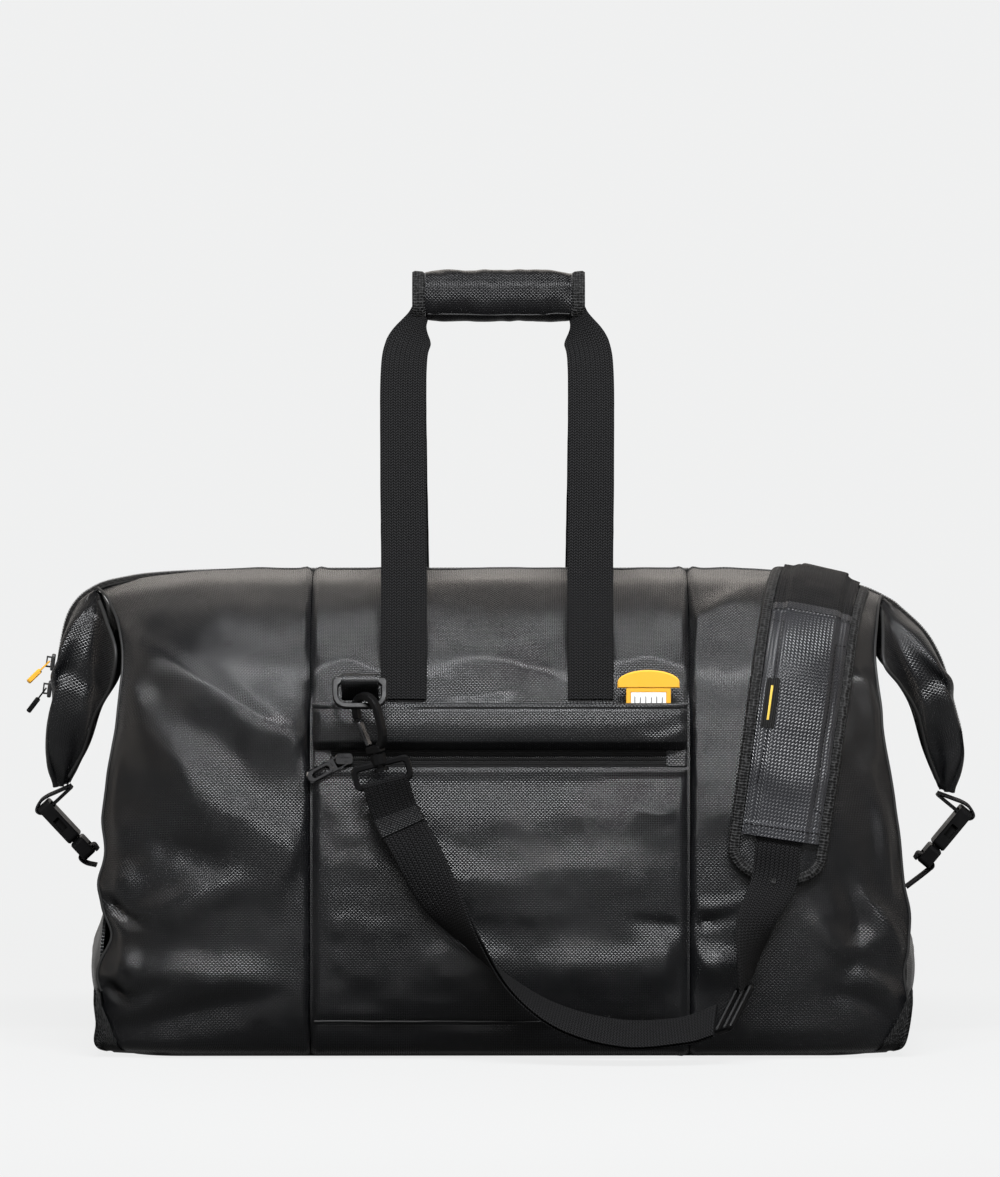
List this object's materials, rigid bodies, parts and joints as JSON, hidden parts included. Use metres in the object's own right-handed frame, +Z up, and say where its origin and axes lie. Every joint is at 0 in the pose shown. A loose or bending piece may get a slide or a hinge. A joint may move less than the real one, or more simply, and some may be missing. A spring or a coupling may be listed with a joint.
{
  "type": "weekender bag",
  "caption": "Soft travel bag in coated fabric with a top zip, folded end wings, a front zip pocket, webbing handles and a padded shoulder strap on swivel hooks.",
  "frame": {"origin": "centre of the base panel's flat underside", "axes": "+X to the bag's right end seen from the front, -Y towards the front pocket, +Z up"},
  "size_m": [0.6712, 0.3669, 0.5447],
  "materials": {
    "tarpaulin": "satin coated crosshatch weave",
    "base_coating": "matt, heavier coating",
    "stiffener": "matt board",
    "lining": "matt woven",
    "binding_mesh": "matt knitted mesh",
    "webbing": "matt ribbed weave",
    "zip_tape": "matt tape with a nylon coil",
    "yellow_plastic": "satin moulded",
    "card": "matt card behind a clear window",
    "dark_chrome": "dark polished plating",
    "black_plastic": "semi-gloss moulded",
    "padding": "foam pad in knitted mesh and tarpaulin"
  },
  "bodies": {
    "bag": {"back_centre_panel": "tarpaulin", "back_left_corner": "binding_mesh", "back_left_panel": "tarpaulin", "back_right_corner": "binding_mesh", "back_right_panel": "tarpaulin", "back_ring_tab": "tarpaulin", "back_swivel_frame": "black_plastic", "base_board": "stiffener", "base_panel": "base_coating", "front_centre_panel": "tarpaulin", "front_left_corner": "binding_mesh", "front_left_panel": "tarpaulin", "front_right_corner": "binding_mesh", "front_right_panel": "tarpaulin", "front_ring_tab": "tarpaulin", "front_swivel_frame": "black_plastic", "left_anchor_web": "webbing", "left_buckle_prong": "black_plastic", "left_end_panel": "tarpaulin", "left_wing": "tarpaulin", "lining": "lining", "main_zip": "zip_tape", "pad_cover": "tarpaulin", "pocket_band": "tarpaulin", "pocket_panel": "tarpaulin", "pocket_zip": "zip_tape", "right_anchor_web": "webbing", "right_buckle_prong": "black_plastic", "right_end_panel": "tarpaulin", "right_wing": "tarpaulin", "shoulder_pad": "padding", "shoulder_strap": "webbing", "strap_front_inner": "webbing", "strap_front_outer": "webbing"},
    "front_handle": {"front_left_leg": "webbing", "front_right_leg": "webbing", "grip_wrap": "tarpaulin", "grip_binding_left": "binding_mesh", "grip_binding_right": "binding_mesh"},
    "back_handle": {"back_left_leg": "webbing", "back_right_leg": "webbing"},
    "pocket_slider": {"pocket_slider": "dark_chrome"},
    "pocket_pull": {"pocket_pull": "dark_chrome"},
    "upper_slider": {"upper_slider": "dark_chrome"},
    "upper_pull": {"upper_pull": "yellow_plastic"},
    "lower_slider": {"lower_slider": "dark_chrome"},
    "lower_pull": {"lower_pull": "webbing"},
    "left_socket": {"left_buckle_socket": "black_plastic", "left_tether_web": "webbing"},
    "right_socket": {"right_buckle_socket": "black_plastic", "right_tether_web": "webbing"},
    "front_ring": {"front_ring": "black_plastic"},
    "back_ring": {"back_ring": "black_plastic"},
    "front_hook": {"front_hook": "black_plastic"},
    "back_hook": {"back_hook": "black_plastic"},
    "front_gate": {"front_gate": "dark_chrome"},
    "back_gate": {"back_gate": "dark_chrome"},
    "adjuster": {"strap_adjuster": "black_plastic"},
    "tag": {"tag_frame": "yellow_plastic", "tag_card": "card"}
  },
  "joints": [
    {"name": "front_handle_swing", "type": "hinge", "parent": "bag", "child": "front_handle", "pos_m": [0, -0.1315, 0.252], "axis": [1, 0, 0], "range_deg": [0, 58]},
    {"name": "back_handle_swing", "type": "hinge", "parent": "bag", "child": "back_handle", "pos_m": [0, 0.1315, 0.252], "axis": [1, 0, 0], "range_deg": [-58, 0]},
    {"name": "pocket_slider_travel", "type": "slide", "parent": "bag", "child": "pocket_slider", "axis": [1, 0, 0], "range_m": [0, 0.205]},
    {"name": "pocket_pull_lift", "type": "hinge", "parent": "pocket_slider", "child": "pocket_pull", "pos_m": [-0.108, -0.14307, 0.21], "axis": [-0.4695, 0, 0.8829], "range_deg": [0, 85]},
    {"name": "upper_slider_travel", "type": "slide", "parent": "bag", "child": "upper_slider", "axis": [0.1367, 0, 0.9906], "range_m": [0, 0.02]},
    {"name": "upper_pull_lift", "type": "hinge", "parent": "upper_slider", "child": "upper_pull", "pos_m": [-0.31938, 0, 0.26905], "axis": [0, 1, 0], "range_deg": [-10, 75]},
    {"name": "lower_slider_travel", "type": "slide", "parent": "bag", "child": "lower_slider", "axis": [-0.2149, 0, -0.9766], "range_m": [0, 0.025]},
    {"name": "lower_pull_lift", "type": "hinge", "parent": "lower_slider", "child": "lower_pull", "pos_m": [-0.32173, 0, 0.25], "axis": [0, 1, 0], "range_deg": [-20, 55]},
    {"name": "left_buckle_release", "type": "slide", "parent": "bag", "child": "left_socket", "axis": [-0.682, 0, 0.7314], "range_m": [0, 0.024], "deforming": ["left_tether_web"]},
    {"name": "right_buckle_release", "type": "slide", "parent": "bag", "child": "right_socket", "axis": [0.6361, 0, 0.7716], "range_m": [0, 0.024], "deforming": ["right_tether_web"]},
    {"name": "front_ring_rock", "type": "hinge", "parent": "bag", "child": "front_ring", "pos_m": [-0.097, -0.153, 0.265], "axis": [1, 0, 0], "range_deg": [-3, 3]},
    {"name": "back_ring_rock", "type": "hinge", "parent": "bag", "child": "back_ring", "pos_m": [0.097, 0.153, 0.265], "axis": [-1, 0, 0], "range_deg": [-3, 3]},
    {"name": "front_hook_swivel", "type": "hinge", "parent": "bag", "child": "front_hook", "pos_m": [-0.084, -0.1616, 0.212], "axis": [-0.2419, 0, 0.9703], "range_deg": [-20, 0]},
    {"name": "back_hook_swivel", "type": "hinge", "parent": "bag", "child": "back_hook", "pos_m": [0.084, 0.1616, 0.212], "axis": [0.2419, 0, 0.9703], "range_deg": [-38, 0]},
    {"name": "front_gate_press", "type": "hinge", "parent": "front_hook", "child": "front_gate", "pos_m": [-0.09032, -0.15699, 0.22021], "axis": [0.7211, 0.6691, 0.1798], "range_deg": [0, 22], "stiffness_Nm_per_rad": 0.03, "springref_deg": -11.46},
    {"name": "back_gate_press", "type": "hinge", "parent": "back_hook", "child": "back_gate", "pos_m": [0.09032, 0.15699, 0.22021], "axis": [-0.7211, -0.6691, 0.1798], "range_deg": [0, 22], "stiffness_Nm_per_rad": 0.03, "springref_deg": -11.46},
    {"name": "adjuster_travel", "type": "slide", "parent": "bag", "child": "adjuster", "axis": [0.66, 0.07, 0.748], "range_m": [-0.008, 0.006], "deforming": ["strap_front_outer", "strap_front_inner", "shoulder_strap"]},
    {"name": "tag_lift", "type": "slide", "parent": "bag", "child": "tag", "axis": [0, 0, 1], "range_m": [0, 0.045]}
  ]
}
